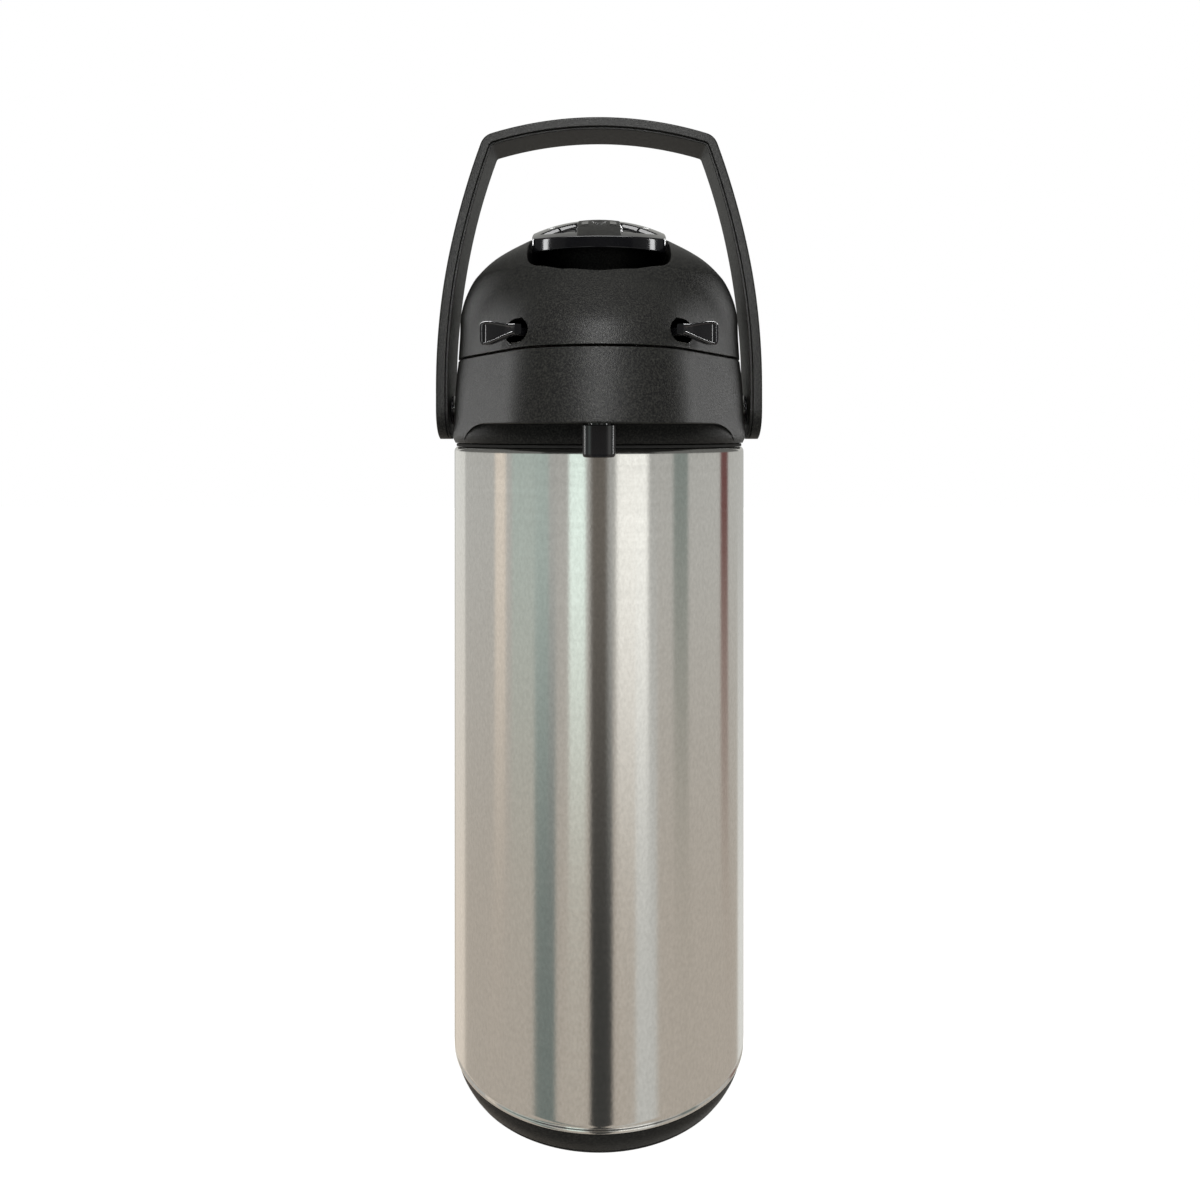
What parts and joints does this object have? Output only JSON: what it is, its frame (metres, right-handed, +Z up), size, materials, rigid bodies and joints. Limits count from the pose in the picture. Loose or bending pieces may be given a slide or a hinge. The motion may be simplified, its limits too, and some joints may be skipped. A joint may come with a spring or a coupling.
{
  "type": "thermal coffee airpot",
  "caption": "Vacuum-walled steel coffee airpot with a push-pump head, front spout, rear-hinged lid, swivel foot and carrying bail.",
  "frame": {"origin": "middle of the flat underside of the swivel foot, on the pot's axis", "axes": "+Z up along the pot's axis, spout towards -Y, +X to the right seen from the spout side"},
  "size_m": [0.1406, 0.1602, 0.4137],
  "materials": {
    "brushed_steel": "satin, vertical grain",
    "bright_steel": "bright",
    "textured_black": "fine spark-eroded texture",
    "gloss_black": "high gloss",
    "inner_plastic": "natural polypropylene",
    "black_rubber": "matte",
    "silicone": "matte"
  },
  "bodies": {
    "vessel": {"outer_shell": "brushed_steel", "inner_vessel": "bright_steel", "shell_bottom": "bright_steel", "seam_ring": "black_rubber", "base_cup": "textured_black", "head_collar": "textured_black", "neck_nut": "inner_plastic", "neck_gasket": "silicone", "stopper_body": "inner_plastic", "stopper_seal": "silicone", "stopper_cap": "inner_plastic", "dip_tube": "inner_plastic", "tube_nut": "inner_plastic", "tube_foot": "inner_plastic", "outlet_pipe": "inner_plastic", "spout_nozzle": "gloss_black", "nozzle_clip": "inner_plastic", "hinge_pin": "bright_steel", "pivot_pin_left": "bright_steel", "pivot_pin_right": "bright_steel", "pivot_washer_left": "gloss_black", "pivot_washer_right": "gloss_black"},
    "foot": {"foot_disc": "textured_black", "foot_pad_ring": "black_rubber", "foot_retainer": "bright_steel", "foot_screw": "bright_steel"},
    "valve_ball": {"tilt_valve_ball": "bright_steel"},
    "bail": {"bail_handle": "textured_black"},
    "lid": {"lid_dome": "textured_black", "lid_base_plate": "inner_plastic", "lid_gasket": "silicone", "air_valve_flap": "silicone", "lid_screw_1": "bright_steel", "lid_screw_2": "bright_steel", "lid_screw_3": "bright_steel", "bellows": "black_rubber", "bellows_clamp": "inner_plastic", "return_spring": "bright_steel", "latch_pin_left": "bright_steel", "latch_pin_right": "bright_steel", "latch_spring_left": "bright_steel", "latch_spring_right": "bright_steel"},
    "pump_button": {"button_cap": "gloss_black", "plunger_cup": "textured_black"},
    "lock": {"lock_knob": "gloss_black", "lock_cam": "inner_plastic"},
    "latch_left_lever": {"latch_left": "gloss_black"},
    "latch_right_lever": {"latch_right": "gloss_black"}
  },
  "joints": [
    {"name": "lid_hinge", "type": "hinge", "parent": "vessel", "child": "lid", "pos_m": [0, 0.064, 0.3084], "axis": [-1, 0, 0], "range_deg": [0, 17]},
    {"name": "pump_stroke", "type": "slide", "parent": "lid", "child": "pump_button", "axis": [0, 0, -1], "range_m": [0, 0.018], "stiffness_N_per_m": 400, "springref_m": -0.008, "deforming": ["bellows", "return_spring"]},
    {"name": "lock_turn", "type": "hinge", "parent": "pump_button", "child": "lock", "pos_m": [0, 0, 0.359], "axis": [0, 0, 1], "range_deg": [0, 90]},
    {"name": "latch_left_squeeze", "type": "hinge", "parent": "lid", "child": "latch_left_lever", "pos_m": [-0.02553, -0.06393, 0.3155], "axis": [0, 0, -1], "range_deg": [0, 6], "stiffness_Nm_per_rad": 0.3, "springref_deg": -5.73},
    {"name": "latch_right_squeeze", "type": "hinge", "parent": "lid", "child": "latch_right_lever", "pos_m": [0.02553, -0.06393, 0.3155], "axis": [0, 0, 1], "range_deg": [0, 6], "stiffness_Nm_per_rad": 0.3, "springref_deg": -5.73},
    {"name": "bail_swing", "type": "hinge", "parent": "vessel", "child": "bail", "pos_m": [0, 0, 0.287], "axis": [1, 0, 0], "range_deg": [-120, 120]},
    {"name": "foot_swivel", "type": "hinge", "parent": "vessel", "child": "foot", "pos_m": [0, 0, 0], "axis": [0, 0, 1], "continuous": true},
    {"name": "tilt_ball_lift", "type": "slide", "parent": "vessel", "child": "valve_ball", "axis": [0, 0, 1], "range_m": [0, 0.008]}
  ]
}
